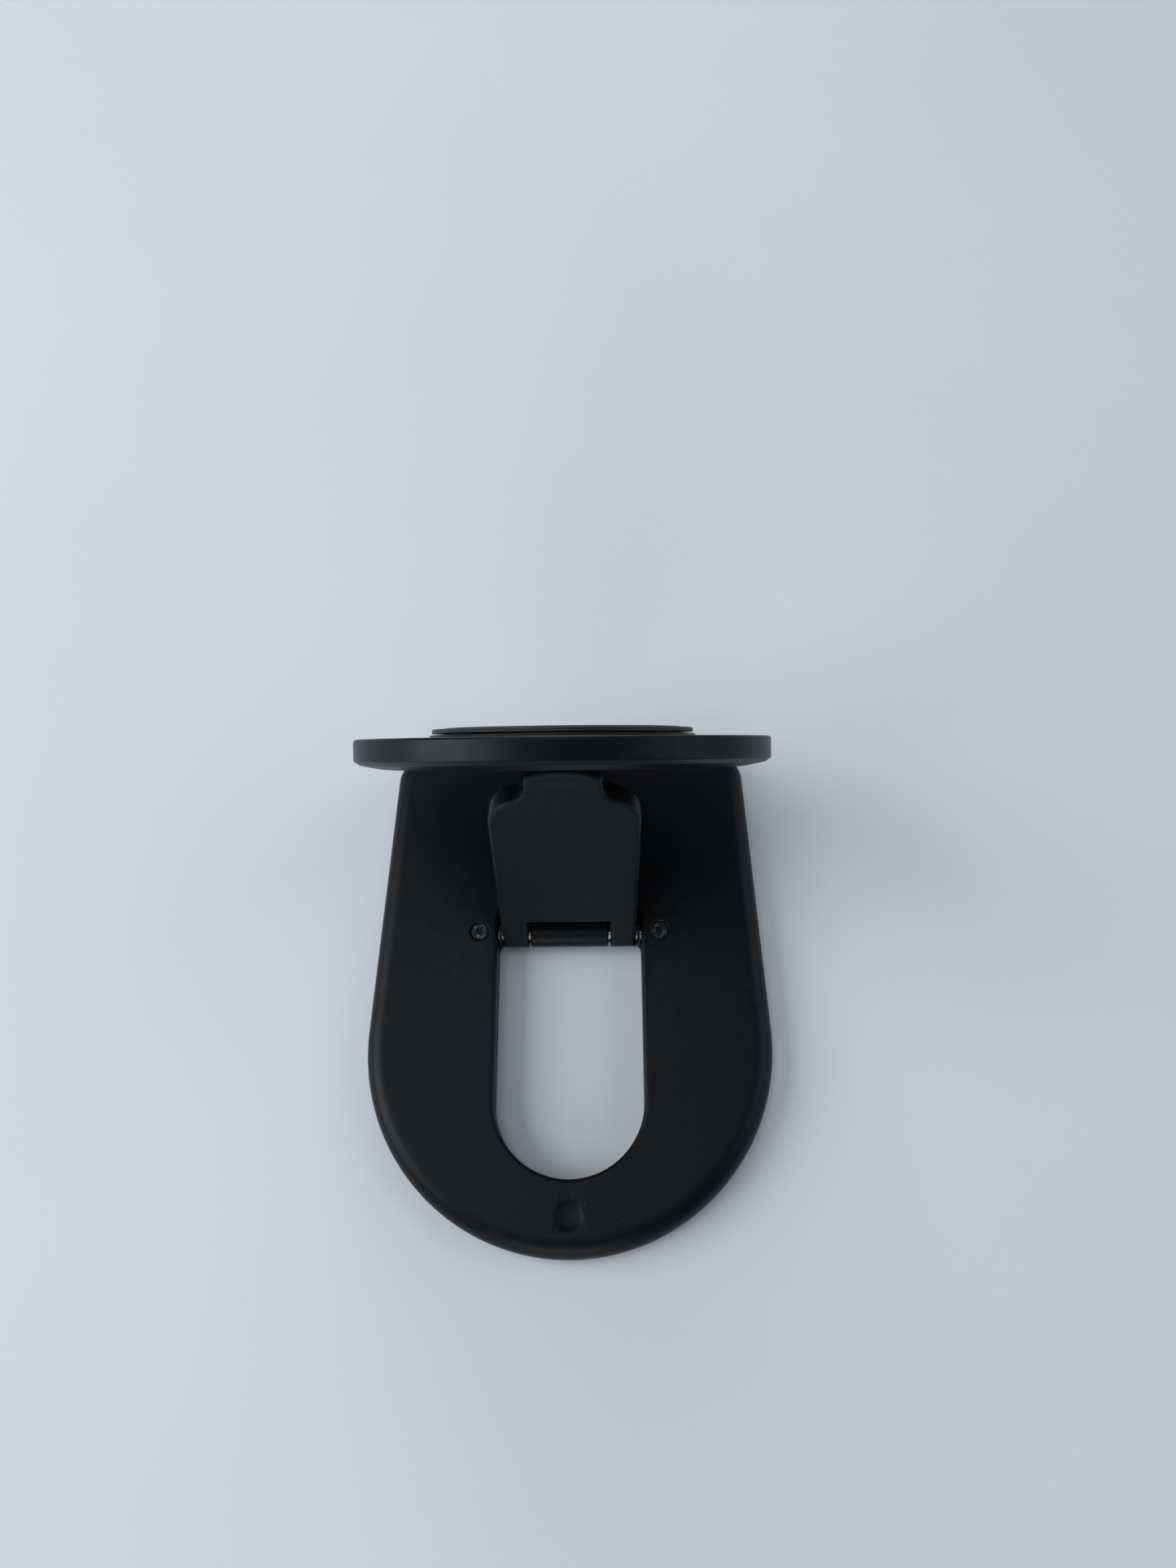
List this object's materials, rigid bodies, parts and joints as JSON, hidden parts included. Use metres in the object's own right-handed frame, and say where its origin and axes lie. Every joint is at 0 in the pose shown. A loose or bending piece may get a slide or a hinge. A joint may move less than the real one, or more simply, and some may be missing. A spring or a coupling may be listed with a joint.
{
  "type": "magnetic phone mount",
  "caption": "Fold-flat magnetic phone mount: loop-shaped stick-on base with a slot, hinged tongue arm and spinning magnetic disc head.",
  "frame": {"origin": "underside of the adhesive pad, straight below the base hinge axis", "axes": "+Z away from the surface the base is stuck to, +Y towards the side the phone hangs on, +X across the base to the right seen from the round end"},
  "size_m": [0.0588, 0.075, 0.0587],
  "materials": {
    "base_plastic": "satin black, fine moulded grain",
    "arm_plastic": "matte charcoal, fine moulded grain",
    "head_plastic": "satin black",
    "soft_rubber": "matte silicone",
    "adhesive_foam": "dull acrylic foam tape",
    "steel": "plain ground steel",
    "dark_screw": "black oxide",
    "brass": "turned",
    "magnet_nickel": "nickel plated"
  },
  "bodies": {
    "base": {"base_plate": "base_plastic", "base_cover": "steel", "adhesive_pad": "adhesive_foam", "cover_screw_1": "dark_screw", "cover_screw_2": "dark_screw", "cover_screw_3": "dark_screw", "cover_screw_4": "dark_screw", "hinge_pin": "steel", "hinge_set_screw_left": "dark_screw", "hinge_set_screw_right": "dark_screw", "friction_washer_left": "dark_screw", "friction_washer_right": "dark_screw"},
    "arm": {"arm_body": "arm_plastic", "arm_back_cover": "arm_plastic", "arm_stiffener": "steel", "arm_cover_screw_1": "dark_screw", "arm_cover_screw_2": "dark_screw", "hinge_bush_left": "brass", "hinge_bush_right": "brass"},
    "swivel": {"swivel_bracket": "head_plastic", "tilt_pin": "steel", "tilt_washer_left": "brass", "tilt_washer_right": "brass", "spin_friction_washer": "brass"},
    "head": {"head_back_shell": "head_plastic", "head_front_cover": "head_plastic", "soft_pad": "soft_rubber", "magnet_yoke": "steel", "swivel_retainer": "steel", "retainer_screw_1": "dark_screw", "retainer_screw_2": "dark_screw", "retainer_screw_3": "dark_screw", "magnet_01": "magnet_nickel", "magnet_02": "magnet_nickel", "magnet_03": "magnet_nickel", "magnet_04": "magnet_nickel", "magnet_05": "magnet_nickel", "magnet_06": "magnet_nickel", "magnet_07": "magnet_nickel", "magnet_08": "magnet_nickel", "magnet_09": "magnet_nickel", "magnet_10": "magnet_nickel", "magnet_11": "magnet_nickel", "magnet_12": "magnet_nickel", "magnet_13": "magnet_nickel", "magnet_14": "magnet_nickel", "magnet_15": "magnet_nickel", "magnet_16": "magnet_nickel"}
  },
  "joints": [
    {"name": "arm_fold", "type": "hinge", "parent": "base", "child": "arm", "pos_m": [0, 0, 0.0034], "axis": [1, 0, 0], "range_deg": [0, 114]},
    {"name": "head_tilt", "type": "hinge", "parent": "arm", "child": "swivel", "pos_m": [0, 0.01249, 0.03145], "axis": [1, 0, 0], "range_deg": [-48.7, 0]},
    {"name": "head_spin", "type": "hinge", "parent": "swivel", "child": "head", "pos_m": [0, 0.01249, 0.03145], "axis": [0, 0.9085, 0.4179], "continuous": true}
  ],
  "couplings": [
    {"joint": "head_tilt", "follows": "arm_fold", "ratio": -0.427}
  ]
}
